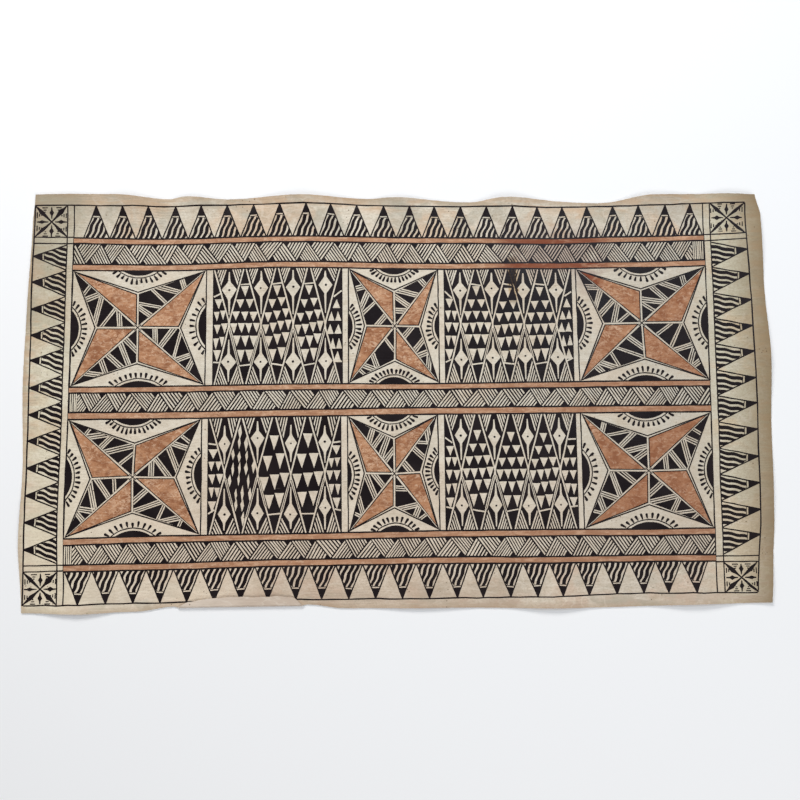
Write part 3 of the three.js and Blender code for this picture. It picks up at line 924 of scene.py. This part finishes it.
# How far the gaps' fillings stay clear of the panel's sides and of the crossed lines
SIDE_CLEAR, SPINDLE_CLEAR, ROW_CLEAR, BAR_CLEAR = 1.2, 2.8, 1.4, 1.5
Panel = namedtuple(
    "Panel", "left right far near rows widest far_heart near_heart wander half_wide spindle_gap far_row"
)
for panel in (
    Panel(-234.6, -65.4, "band 2", "band 3", CLOSE_ROWS, 10.2, 0.836, 0.195, 0.018, 9.8, None, True),
    Panel(67.6, 237.6, "band 2", "band 3", CLOSE_ROWS, 10.2, 0.822, 0.220, 0.014, 9.3, None, True),
    Panel(-239.8, -67.8, "band 4", "band 5", TALL_ROWS, 12.4, 0.800, 0.187, 0.030, 8.1, 1, False),
    Panel(65.2, 238.0, "band 4", "band 5", CLOSE_ROWS, 10.2, 0.810, 0.205, 0.010, 8.4, None, False),
):
    def at(x, share):
        """A place in the panel: share is 0 at its near side and 1 at its far side."""
        near, far = band_side(panel.near, 1, x) + 0.2, band_side(panel.far, -1, x) - 0.2
        return (x, near + (far - near) * share)

    places = spaced(panel.left, panel.right, 20)
    painted.append((INK, [at(x, 0.0) for x in places] + [at(x, 1.0) for x in places[::-1]]))
    pitch = (panel.right - panel.left - BOTH_INSETS) / (COLUMNS - 1)
    columns = [panel.left + FIRST_COLUMN + pitch * k + shaky(0.9) for k in range(COLUMNS)]
    knots = [KNOT + shaky(0.016) for k in range(COLUMNS)]

    def lattice(k, share):
        """How far the crossed lines of a column stand from its middle."""
        off = max(abs(share - knots[k]) - CROSSING, 0.0)
        return SPREAD * off / ((1 - knots[k] if share > knots[k] else knots[k]) - CROSSING)

    def gap_sides(place, share, clear):
        """The left and right sides of a gap between two columns, clear of their lines."""
        left, right = panel.left + SIDE_CLEAR, panel.right - SIDE_CLEAR
        if place > 0:
            left = columns[place - 1] + lattice(place - 1, share) + clear
        if place < COLUMNS:
            right = columns[place] - lattice(place, share) - clear
        return left, right

    for place in range(COLUMNS + 1):
        outer = place in (0, COLUMNS)
        if place == panel.spindle_gap:
            for row in range(SPINDLE_ROWS):
                share = SPINDLE_TOP - row * SPINDLE_PITCH
                left, right = gap_sides(place, share, SPINDLE_CLEAR)
                count = max(1, round((right - left) / SPINDLE_WIDE))
                for k in range(count):
                    x = left + (right - left) * (k + (0.74 if row % 2 else 0.26)) / count + shaky(0.6)
                    drop = shaky(0.012)
                    tall = SPINDLE_TALL + shaky(0.012)
                    half = SPINDLE_HALF + shaky(0.5)
                    spindle = [
                        at(x + 0.7, share + tall + drop), at(x - half, share + 0.010 + drop),
                        at(x - 0.3, share - tall + drop), at(x + half * 0.9, share - 0.006 + drop),
                    ]
                    fill(BARE, spindle, 0.3, step=30.0)
            continue
        slope = 0.0005 + shaky(0.0008)
        sink = shaky(0.014)
        for row in SIDE_ROWS if outer else panel.rows:
            top = row.top + sink + shaky(0.004)
            left, right = gap_sides(place, top - row.tall * 0.3, ROW_CLEAR)
            wide = right - left
            for k in range(row.count):
                x = left + wide * (k + 0.5) / row.count + shaky(0.3)
                half = min(wide / row.count - 0.5, panel.widest) / 2 + shaky(0.25)
                share = top + slope * (x - (left + right) / 2) + shaky(0.003)
                foot = share - row.tall * (0.95 + shaky(0.05))
                if place == COLUMNS and panel.far_row:
                    share, foot = foot, share
                fill(BARE, [at(x - half, share), at(x + shaky(0.5), foot), at(x + half, share)], 0.3)
        bars = OUTER_BARS if outer else INNER_BARS
        for share, tilt in bars if panel.far_row or outer else bars[1:]:
            left, right = gap_sides(place, share, BAR_CLEAR)
            tilt = shaky(tilt)
            stroke([at(left, share - tilt), at(right, share + tilt)], BAR_WIDE, BARE)
    for k, x in enumerate(columns):
        for way in (-1, 1):
            upper = at(x + way * 0.8, knots[k] + CROSSING)
            lower = at(x - way * 0.8, knots[k] - CROSSING)
            low_end = at(x - way * SPREAD + shaky(0.6), PANEL_LOW)
            high_end = at(x + way * SPREAD + shaky(0.6), PANEL_TOP)
            stroke([high_end, upper, lower, low_end], LATTICE_LINE, BARE, step=20.0, wobble=0.18)
            outermost = (k == 0 and way > 0) or (k == COLUMNS - 1 and way < 0)
            if not outermost:
                split_end = between(lower, low_end, SPLIT_SHARE + shaky(0.12))
                stroke([lower, split_end], SPLIT_LINE, BARE, step=24.0, wobble=0.12)
                stroke([lower, split_end], SPLIT_GAP, INK, step=24.0, wobble=0.10)
        for up, heart, tail_end in ((1, panel.far_heart, FAR_TAIL), (-1, panel.near_heart, NEAR_TAIL)):
            heart += shaky(panel.wander)
            cx, cy = at(x + shaky(0.4), heart)
            wide = panel.half_wide + shaky(0.7)
            out = LOZENGE_OUT + shaky(1.2)
            back = LOZENGE_BACK + shaky(1.5)
            reach = abs(at(cx, tail_end)[1] - cy)
            spike_end = abs(at(cx, 1.0 if up > 0 else 0.0)[1] - cy) - SPIKE_CLEAR
            if up > 0:
                spike_end = min(spike_end, SPIKE_MOST)
            spike = ((1.7, out * 0.86), (1.35, out * 1.12), (0.7, spike_end + shaky(1.3)))
            tail = ((1.6, -back * 0.87), (1.3, -back * 1.15), (0.6, -reach + shaky(1.5)))
            outline = [(wide, 0.0), *spike, *[(-w, h) for w, h in spike[::-1]], (-wide, 0.0)]
            outline += [*[(-w, h) for w, h in tail], *tail[::-1]]
            fill(BARE, [(cx + w, cy + h * up) for w, h in outline], 0.3, step=30.0)
            spot, sx, sy = SPOT + shaky(0.3), cx + shaky(0.8), cy + shaky(0.8)
            turns = [SPOT_TURN * j for j in range(6)]
            ring = [(sx + spot * math.cos(turn), sy + spot * math.sin(turn)) for turn in turns]
            fill(INK, ring, 0.2, step=30.0)
            for way in (-1, 1):
                edge = PANEL_TOP if up > 0 else PANEL_LOW
                foot_share = heart + up * 0.012
                foot = at(x + way * lattice(k, foot_share), foot_share)
                corner = at(x + way * (SPREAD - 0.5), edge)
                inner = at(x + way * (3.4 if up > 0 else 1.4), edge)
                region = shrunk([foot, corner, inner], [2.0, 0.0, 0.0])
                nx, ny = heading(foot, inner)[2:]
                turn = 1 if (corner[0] - foot[0]) * nx + (corner[1] - foot[1]) * ny > 0 else -1
                lines, gap = WIDE_COMB if panel.rows is TALL_ROWS else CLOSE_COMB
                for j in range(lines):
                    off = turn * (1.0 + j * gap + shaky(0.2))
                    line = beside(foot, inner, 3, 4, off, shaky(0.2))
                    line_width = (FIRST_COMBED if j == 0 else COMBED_LINE) + shaky(0.12)
                    stroke(line, line_width, BARE, step=12.0, wobble=0.18, cut=[region])


# The brown bands: six long stripes rubbed on with a pad of red-brown bark dye, each between two black
# lines. They part the plaits from the border and from the panels, and run over the ends of what they
# meet. The stars' brown halves have the same dye.
BAND_LINE = 2.1
for band in BAND_TALL:
    x0 = upright("left strip inner", level(band, -416))
    x1 = upright("right strip inner", level(band, 416))
    places = spaced(x0, x1, 60)
    near_side = [(x, band_side(band, -1, x) + shaky(0.25)) for x in places]
    far_side = [(x, band_side(band, 1, x) + shaky(0.25)) for x in places]
    painted.append((DYE, near_side + far_side[::-1]))
    for side in (1, -1):
        ruled(lambda x: (x, band_side(band, side, x)), x0, x1, BAND_LINE)

dye = Finish("brown_dye")
rubbed = dye.noise(46.0, 60.0, detail=6.0, rough=0.72, shift=1.7, swirl=0.8).step(0.38, 0.62)
dye.colour = rubbed.mix(tone(184, 132, 95), tone(144, 92, 60))
strokes = dye.noise(90.0, 330.0, detail=5.0, rough=0.70, shift=4.2, twist=0.6, swirl=1.2)
strokes = strokes.step(0.48, 0.66)
dye.over(strokes * 0.55, tone(140, 90, 60))
smears = dye.noise(44.0, 120.0, detail=5.0, rough=0.66, shift=9.3, twist=-0.7, swirl=1.6)
smears = smears.step(0.50, 0.66)
dye.over(smears * 0.50, tone(206, 164, 130))
scribbles = dye.scrawl(0.050, 95.0, 150.0, detail=3.0, shift=15.0, twist=-0.7, swirl=1.5)
thin_dye = dye.noise(30.0, 34.0, detail=3.0, shift=18.0).step(0.44, 0.60)
dye.over(scribbles * thin_dye * 0.66, tone(218, 178, 144))
dabs = dye.noise(150.0, 210.0, detail=4.0, rough=0.65, shift=31.0, twist=0.7, swirl=0.9)
dabs = dabs.step(0.52, 0.66)
dye.over(dabs * 0.58, tone(224, 190, 160))
deep = (dye.x - dye.y * 0.7 + dye.noise(9.0, 11.0, detail=3.0, shift=12.0) * 0.5).step(0.20, 0.72)
dye.over(deep * 0.42, tone(136, 84, 58))
on_band = dye.start.attribute("on_band")
dye.over(on_band * 0.34, tone(200, 160, 130))
dye.over(deep * on_band * 0.30, tone(142, 100, 74))
rubbed_along = dye.noise(24.0, 430.0, detail=5.0, rough=0.7, shift=23.0).step(0.46, 0.62)
dye.over(rubbed_along * on_band * 0.55, tone(152, 102, 70))
dye.over(dye.spill(0.19) * 0.86, tone(120, 51, 25))
worn = dye.noise(34.0, 150.0, detail=5.0, rough=0.68, shift=27.0, swirl=0.8).step(0.53, 0.66)
dye.over(worn * on_band * 0.46, tone(222, 182, 150))
dye.over(dye.specks(170.0, 0.15, 2.0) * 0.6, tone(84, 56, 40))
dye.close(0.66 + rubbed * 0.14, dye.grain(), strength=0.40, distance=0.0010, shine=0.3)


# The corner squares: where the borders meet, each corner of the drawing holds a square with four leaf
# arms on its diagonals, four spindles between them, and short dashes that shrink towards the middle.
LEAF_FATTEST, LEAF_HALF = 0.54, 2.9
SPINDLE_FATTEST, SPINDLE_TAIL, SPINDLE_BELLY = 0.58, 0.92, 2.9
DASH_ASIDE, DASH_LINE = 0.42, 1.5
for outer_x, inner_x, outer_y, inner_y in (
    (-467.0, -425.2, 258.6, 217.0),
    (472.0, 426.0, 258.8, 218.6),
    (-469.6, -427.4, -256.0, -215.4),
    (467.0, 424.2, -253.4, -215.8),
):
    middle = ((outer_x + inner_x) / 2 + shaky(1.0), (outer_y + inner_y) / 2 + shaky(1.0))
    for corner in ((outer_x, outer_y), (inner_x, outer_y), (inner_x, inner_y), (outer_x, inner_y)):
        ux, uy = heading(middle, corner)[:2]
        run = apart(middle, corner)
        fattest = run * (LEAF_FATTEST + shaky(0.09))
        leaf = (
            (0.0, 0.8, 0.0), (run * 0.28, 1.5, 0.0), (fattest, LEAF_HALF + shaky(0.5), shaky(1.3)),
            (run * 0.80, 1.5, 0.0), (run, 0.6, 0.0),
        )
        fill(INK, tapered(middle, ux, uy, leaf), 0.2, step=50.0)
    for dx, dy in ((1, 0), (-1, 0), (0, 1), (0, -1)):
        reach = abs(outer_x - inner_x) / 2 if dx else abs(outer_y - inner_y) / 2
        fattest = reach * (SPINDLE_FATTEST + shaky(0.05))
        belly = SPINDLE_BELLY + shaky(0.4)
        tail = reach * (SPINDLE_TAIL + shaky(0.05))
        spindle = (
            (reach * 0.2, 0.6, 0.0), (fattest - 3.4, 1.2, 0.0), (fattest, belly, 0.0),
            (fattest + 3.2, 1.2, 0.0), (tail, 0.7, 0.0),
        )
        fill(INK, tapered(middle, dx, dy, spindle), 0.2, step=50.0)
        for side in (-1, 1):
            aside = side * reach * (DASH_ASIDE + shaky(0.05))
            for share, long in ((0.9, 7.0), (0.76, 4.2), (0.63, 2.0)):
                x = middle[0] + dx * reach * share - dy * aside
                y = middle[1] + dy * reach * share + dx * aside
                half = long / 2 * (1 + shaky(0.15))
                ends = [(x + dy * half, y - dx * half), (x - dy * half, y + dx * half)]
                stroke(ends, DASH_LINE, step=30.0)


# The painted sheet, laid out: the flat sheet is parted along every painted edge, so that each colour
# keeps its own crisp shape, and gets an underside and a rim. Then it is laid on its ripples and
# creases, and its hem is turned up. The bark, ink and dye are one thickness of cloth.
MM = 0.001
FRAY = 0.16
STEPS_ALONG, STEPS_UP = 320, 180
FACE_NET, UNDER_NET, NET_LOW, NET_TALL = 7.0, 11.0, -275, 550
NET_SHAKE, CLEAR_OF_EDGE = 0.2, 1.4
ROLL_STEP, ROLL_PARTS, ROLL_ROWS, ROLL_SHAKE, PAST_ROLL = 3, 6, 9, 0.4, (6.5, 9.5)
LEAST_GAP = 0.04
# A crease sinks the face by this much at most, and less within a short way of the rim
DENT_MOST, DENT_EASE = 0.7, 10.0
BAND_OVERLAP = 1.5
fray = random.Random(5)


def cut_edge():
    """The sheet's outline, anticlockwise, with its edges a little frayed."""
    near_left, near_right = near_cut(-HALF_LENGTH), near_cut(HALF_LENGTH)
    far_left, far_right = eased(FAR_EDGE, -HALF_LENGTH), eased(FAR_EDGE, HALF_LENGTH)
    squares = spaced(-HALF_LENGTH, HALF_LENGTH, STEPS_ALONG)[:-1]

    def on_long_side(square, cut):
        """A point of the near or the far edge. Square is where it would lie on a true oblong."""
        y = cut + fray.uniform(-FRAY, FRAY)
        share = (square + HALF_LENGTH) / (2 * HALF_LENGTH)
        left, right = eased(LEFT_EDGE, y), eased(RIGHT_EDGE, y)
        return (left + (right - left) * share, y)

    def on_short_side(edge, y):
        """A point of the left or the right edge."""
        return (eased(edge, y) + fray.uniform(-FRAY, FRAY), y)

    outline = [on_long_side(square, near_cut(square)) for square in squares]
    outline += [on_short_side(RIGHT_EDGE, y) for y in spaced(near_right, far_right, STEPS_UP)[:-1]]
    outline += [on_long_side(-square, eased(FAR_EDGE, -square)) for square in squares]
    outline += [on_short_side(LEFT_EDGE, y) for y in spaced(far_left, near_left, STEPS_UP)[:-1]]
    return outline


def covered(outline, places):
    """Which places lie inside an outline."""
    inside = np.zeros(len(places), dtype=bool)
    x, y = places[:, 0], places[:, 1]
    for (ax, ay), (bx, by) in zip(outline, outline[1:] + outline[:1]):
        if ay != by:
            inside ^= ((ay > y) != (by > y)) & (x < ax + (y - ay) * (bx - ax) / (by - ay))
    return inside


def inner_places(outline, step):
    """Places spread over the sheet so that it can bend, closer together along the turned hem."""
    places = []
    across, up = int(2 * HALF_LENGTH / step), int(NET_TALL / step)
    for k in range(across + 1):
        for j in range(up + 1):
            x = -HALF_LENGTH + step * (k + 0.5 * (j % 2)) + fray.uniform(-NET_SHAKE, NET_SHAKE) * step
            places.append((x, NET_LOW + step * j + fray.uniform(-NET_SHAKE, NET_SHAKE) * step))
    roll = FOLD_RADIUS * FOLD_TURN
    for x in range(min(TURNED_HEM) - 1, max(TURNED_HEM) + 2, ROLL_STEP):
        for k in range(ROLL_ROWS):
            shaken = x + fray.uniform(-ROLL_SHAKE, ROLL_SHAKE)
            places.append((shaken, FOLD_LINE - roll * k / ROLL_PARTS))
        for past in PAST_ROLL:
            places.append((x, FOLD_LINE - past))
    places = np.array(places)
    kept = covered(outline, places)
    for way in ((0, 1), (0, -1), (1, 0), (-1, 0)):
        kept &= covered(outline, places + CLEAR_OF_EDGE * np.array(way))
    return [tuple(place) for place in places[kept]]


def triangles_of(points, edges, outline):
    """The points and triangles of the sheet, parted along the edges, and which point each came from."""
    cut = delaunay_2d_cdt([Vector(p) for p in points], edges, [], 0, LEAST_GAP, True)
    places = np.array([tuple(place) for place in cut[0]])
    corners = np.array(cut[2])
    kept = corners[covered(outline, places[corners].mean(axis=1))]
    return places, kept, cut[3]


outline = cut_edge()
edge_count = len(outline)
around = [(k, (k + 1) % edge_count) for k in range(edge_count)]
points, edges = list(outline), list(around)
placed = [(colour, [(x + DRAWING_X, y + DRAWING_Y) for x, y in shape]) for colour, shape in painted]
for colour, shape in placed:
    start = len(points)
    points += shape
    edges += [(start + k, start + (k + 1) % len(shape)) for k in range(len(shape))]
points += inner_places(outline, FACE_NET)
face_places, face_corners, came_from = triangles_of(points, edges, outline)

centres = face_places[face_corners].mean(axis=1)
order = np.argsort(centres[:, 0])
centres_in_order = centres[order]
paint = np.full(len(centres), BARE)
for colour, shape in placed:
    xs, ys = [p[0] for p in shape], [p[1] for p in shape]
    start, end = np.searchsorted(centres_in_order[:, 0], (min(xs), max(xs)))
    near_by = order[start:end]
    near_by = near_by[(centres[near_by, 1] > min(ys)) & (centres[near_by, 1] < max(ys))]
    paint[near_by[covered(shape, centres[near_by])]] = colour

under_points = outline + inner_places(outline, UNDER_NET)
under_places, under_corners, under_from = triangles_of(under_points, around, outline)


def edge_numbers(from_points):
    """The number that each point of the cut edge has among the triangles' points."""
    numbers = {}
    for number, sources in enumerate(from_points):
        numbers.update((source, number) for source in sources if source < edge_count)
    return numbers


edge_at, under_edge_at = edge_numbers(came_from), edge_numbers(under_from)
face_total = len(face_places)
flat_places = np.concatenate([face_places, under_places])
on_underside = np.concatenate([np.zeros(face_total), np.ones(len(under_places))])
faces = [tuple(int(c) for c in corners) for corners in face_corners]
slots = [int(colour) for colour in paint]
faces += [tuple(int(c) + face_total for c in corners[::-1]) for corners in under_corners]
slots += [UNDER] * len(under_corners)
rim_edges = set()
for a, b in around:
    top_a, top_b = edge_at[a], edge_at[b]
    low_a, low_b = under_edge_at[a] + face_total, under_edge_at[b] + face_total
    faces.append((top_b, top_a, low_a, low_b))
    slots.append(UNDER)
    rim_edges |= {frozenset((top_a, top_b)), frozenset((low_a, low_b))}

flat_cloth = bpy.data.meshes.new("bark_cloth_sheet")
flat_cloth.from_pydata([(x * MM, y * MM, 0.0) for x, y in flat_places], [], faces)
flat_cloth.polygons.foreach_set("use_smooth", [True] * len(faces))
for edge in flat_cloth.edges:
    edge.use_edge_sharp = frozenset(edge.vertices) in rim_edges


def keep(name, values):
    """Keeps a value for every point of the flat sheet under a name."""
    flat_cloth.attributes.new(name, "FLOAT", "POINT").data.foreach_set("value", values)


def past_fold(x, y):
    """How far past the fold a place lies."""
    return max(FOLD_LINE - y, 0.0) if eased(TURNED_HEM, x) > 0 else 0.0


def rim_gap(x, y):
    """How far inside the nearest edge a place lies."""
    return min(inside_edge(edge, x, y)[0] for edge in ("far", "near", "left", "right"))


def band_share(x, y):
    """1 on the brown bands, 0 on the rest of the drawing."""
    bands = BAND_TALL.items()
    return float(any(abs(y - level(band, x)) < tall / 2 + BAND_OVERLAP for band, tall in bands))


past = [past_fold(x, y) for x, y in flat_places]
lift = []
for (x, y), under, rolled in zip(flat_places, on_underside, past):
    height = 0.0
    if not rolled:
        crease = crease_at(x, y)
        dent = DENT_MOST * min(max(rim_gap(x, y), 0.0) / DENT_EASE, 1.0)
        height = lift_at(x, y) + max(crease, 0.0 if under else -dent)
    lift.append(height * MM)
keep("lift", lift)
keep("past_fold", [amount * MM for amount in past])
keep("underside", on_underside)
keep("rim_gap", [max(rim_gap(x, y), 0.0) * MM for x, y in flat_places])
keep("on_band", [band_share(x - DRAWING_X, y - DRAWING_Y) for x, y in flat_places])
colours_of_faces = flat_cloth.attributes.new("colour_of_face", "INT", "FACE")
colours_of_faces.data.foreach_set("value", slots)

# Each colour has its own part of the baked map, so that no colour runs into the next along an edge. The
# rim stands a millimetre wide on both maps.
MAP_SPAN, MAP_LEFT, MAP_LOW, RIM_ON_MAP = 980, 490, 282, 1.0
MAP_PARTS = {
    BARE: (0.004, 0.436, 0.992),
    INK: (0.004, 0.070, 0.640),
    DYE: (0.652, 0.222, 0.344),
    UNDER: (0.652, 0.012, 0.344),
}
flat_map = flat_cloth.uv_layers.new(name="Flat")
baked_map = flat_cloth.uv_layers.new(name="OFBake")
for polygon in flat_cloth.polygons:
    left, low, wide = MAP_PARTS[slots[polygon.index]]
    on_rim = polygon.index >= len(faces) - edge_count
    for corner in polygon.loop_indices:
        number = flat_cloth.loops[corner].vertex_index
        x, y = flat_places[number]
        if on_rim and number >= face_total:
            y -= RIM_ON_MAP
        flat_map.data[corner].uv = (x * MM, y * MM)
        across, up = (x + MAP_LEFT) / MAP_SPAN, (y + MAP_LOW) / MAP_SPAN
        baked_map.data[corner].uv = (left + wide * across, low + wide * up)
flat_cloth.uv_layers.active = flat_map

laying = bpy.data.node_groups.new("lay_the_cloth", "GeometryNodeTree")
laying.interface.new_socket("Cloth", in_out="INPUT", socket_type="NodeSocketGeometry")
sizes = {"Thickness": THICKNESS * MM, "Fold radius": FOLD_RADIUS * MM, "Fold turn": FOLD_TURN}
size_sockets = {}
for name in sizes:
    socket = laying.interface.new_socket(name, in_out="INPUT", socket_type="NodeSocketFloat")
    size_sockets[name] = socket.identifier
laying.interface.new_socket("Cloth", in_out="OUTPUT", socket_type="NodeSocketGeometry")
start = Wire(laying)
wires = {name: start.node("NodeGroupInput", output=name) for name in sizes}
flat_sheet = start.node("NodeGroupInput", output="Cloth")


def kept(name, kind="FLOAT"):
    """What the flat sheet keeps under a name."""
    return start.node("GeometryNodeInputNamedAttribute", {"data_type": kind}, {"Name": name})


place = start.node("GeometryNodeInputPosition")
x, y = start.split(place)
rolled = kept("past_fold")
radius = wires["Fold radius"]
turn = start.maths("MINIMUM", rolled / radius, wires["Fold turn"])
straight = start.maths("MAXIMUM", rolled - radius * wires["Fold turn"], 0.0)
sine, cosine = start.maths("SINE", turn), start.maths("COSINE", turn)
out = wires["Thickness"] * (0.5 - kept("underside"))
laid_y = y + rolled - radius * sine - straight * cosine + out * sine
laid_z = kept("lift") + wires["Thickness"] * 0.5 + radius * (1 - cosine) + straight * sine + out * cosine
laid_place = start.node("ShaderNodeCombineXYZ", None, {"X": x, "Y": laid_y, "Z": laid_z})
laid = start.node("GeometryNodeSetPosition", None, {"Geometry": flat_sheet, "Position": laid_place})
laid = start.node("GeometryNodeRealizeInstances", None, {"Geometry": laid})
finishes = (bark.material, ink.material, dye.material, underside.material)
colour_of_face = kept("colour_of_face", "INT")
for number, finish in enumerate(finishes):
    chosen = start.node(
        "FunctionNodeCompare", {"data_type": "INT", "operation": "EQUAL"}, {2: colour_of_face, 3: number}
    )
    laid = start.node(
        "GeometryNodeSetMaterial", None, {"Geometry": laid, "Selection": chosen, "Material": finish}
    )
start.node("NodeGroupOutput", None, {"Cloth": laid})

cloth = bpy.data.objects.new("bark_cloth_sheet", flat_cloth)
bpy.context.scene.collection.objects.link(cloth)
layer = cloth.modifiers.new("lay", "NODES")
layer.node_group = laying
for name, value in sizes.items():
    layer[size_sockets[name]] = value
smoother = cloth.modifiers.new("even_shading", "WEIGHTED_NORMAL")
smoother.mode = "FACE_AREA"
smoother.keep_sharp = True
evaluated = cloth.evaluated_get(bpy.context.evaluated_depsgraph_get())
laid_cloth = bpy.data.meshes.new_from_object(evaluated)
cloth.modifiers.clear()
cloth.data = laid_cloth

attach(cloth, "root")
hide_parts("bark_cloth")


# The floor: a plain pale surface for the cloth to lie on. It sits a hair below the cloth's underside, so
# that the two faces don't meet.
FLOOR_HALF, FLOOR_DROP = 4, 0.0004
floor_corners = [(-1, -1), (1, -1), (1, 1), (-1, 1)]
floor_places = [(FLOOR_HALF * x, FLOOR_HALF * y, -FLOOR_DROP) for x, y in floor_corners]
floor_mesh = bpy.data.meshes.new("floor")
floor_mesh.from_pydata(floor_places, [], [(0, 1, 2, 3)])
floor = bpy.data.objects.new("floor", floor_mesh)
bpy.context.scene.collection.objects.link(floor)
floor_finish = bpy.data.materials.new("pale_floor")
floor_finish.use_nodes = True
floor_surface = floor_finish.node_tree.nodes["Principled BSDF"]
floor_surface.inputs["Base Color"].default_value = tone(246, 246, 246)
floor_surface.inputs["Roughness"].default_value = 0.9
floor_mesh.materials.append(floor_finish)
floor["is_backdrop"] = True


# The light: one large soft lamp high over the far side, a broad fill from the near side, a small cool
# lamp overhead that gives the ink its sheen, and a pale room.
def soft_lamp(name, place, aim, wide, deep, power, colour):
    """A lamp of so many metres by so many, aimed at a place, with its power in watts."""
    lamp = bpy.data.lights.new(name, "AREA")
    lamp.shape = "RECTANGLE"
    lamp.size, lamp.size_y = wide, deep
    lamp.energy = power
    lamp.color = colour
    holder = bpy.data.objects.new(name, lamp)
    holder.location = place
    holder.rotation_euler = (Vector(aim) - Vector(place)).to_track_quat("-Z", "Y").to_euler()
    bpy.context.scene.collection.objects.link(holder)


soft_lamp("window_light", (-0.9, 2.3, 1.7), (-0.05, 0.05, 0.0), 1.4, 0.9, 66.0, (1.0, 0.985, 0.96))
soft_lamp("room_light", (1.2, -2.2, 2.2), (0.0, 0.0, 0.0), 2.0, 1.4, 38.0, (1.0, 0.97, 0.93))
soft_lamp("sheen_light", (0.72, 0.80, 1.9), (0.20, 0.20, 0.0), 0.60, 0.20, 9.0, (0.74, 0.87, 1.0))
room = bpy.data.worlds.new("pale_room")
room.use_nodes = True
walls = room.node_tree.nodes["Background"]
walls.inputs["Color"].default_value = (0.9, 0.93, 1.0, 1.0)
walls.inputs["Strength"].default_value = 0.30
bpy.context.scene.world = room
bpy.context.scene.view_settings.view_transform = "Standard"


# The camera: almost straight above the cloth, a little towards its near side, and leaning over it with a
# slight roll.
view = bpy.data.cameras.new("view")
view.lens = 35.0
view.sensor_width = 36.0
view.clip_start = 0.01
camera = bpy.data.objects.new("view", view)
camera.location = (-0.0262, -0.0870, 1.0084)
camera.rotation_mode = "ZYX"
camera.rotation_euler = Euler((0.0827713, -0.0243824, -0.0093356), "ZYX")
bpy.context.scene.collection.objects.link(camera)
bpy.context.scene.camera = camera

boxes = {"solids": solid_box, "visual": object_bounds()}
{name: [list(corner) for corner in box] for name, box in boxes.items()}
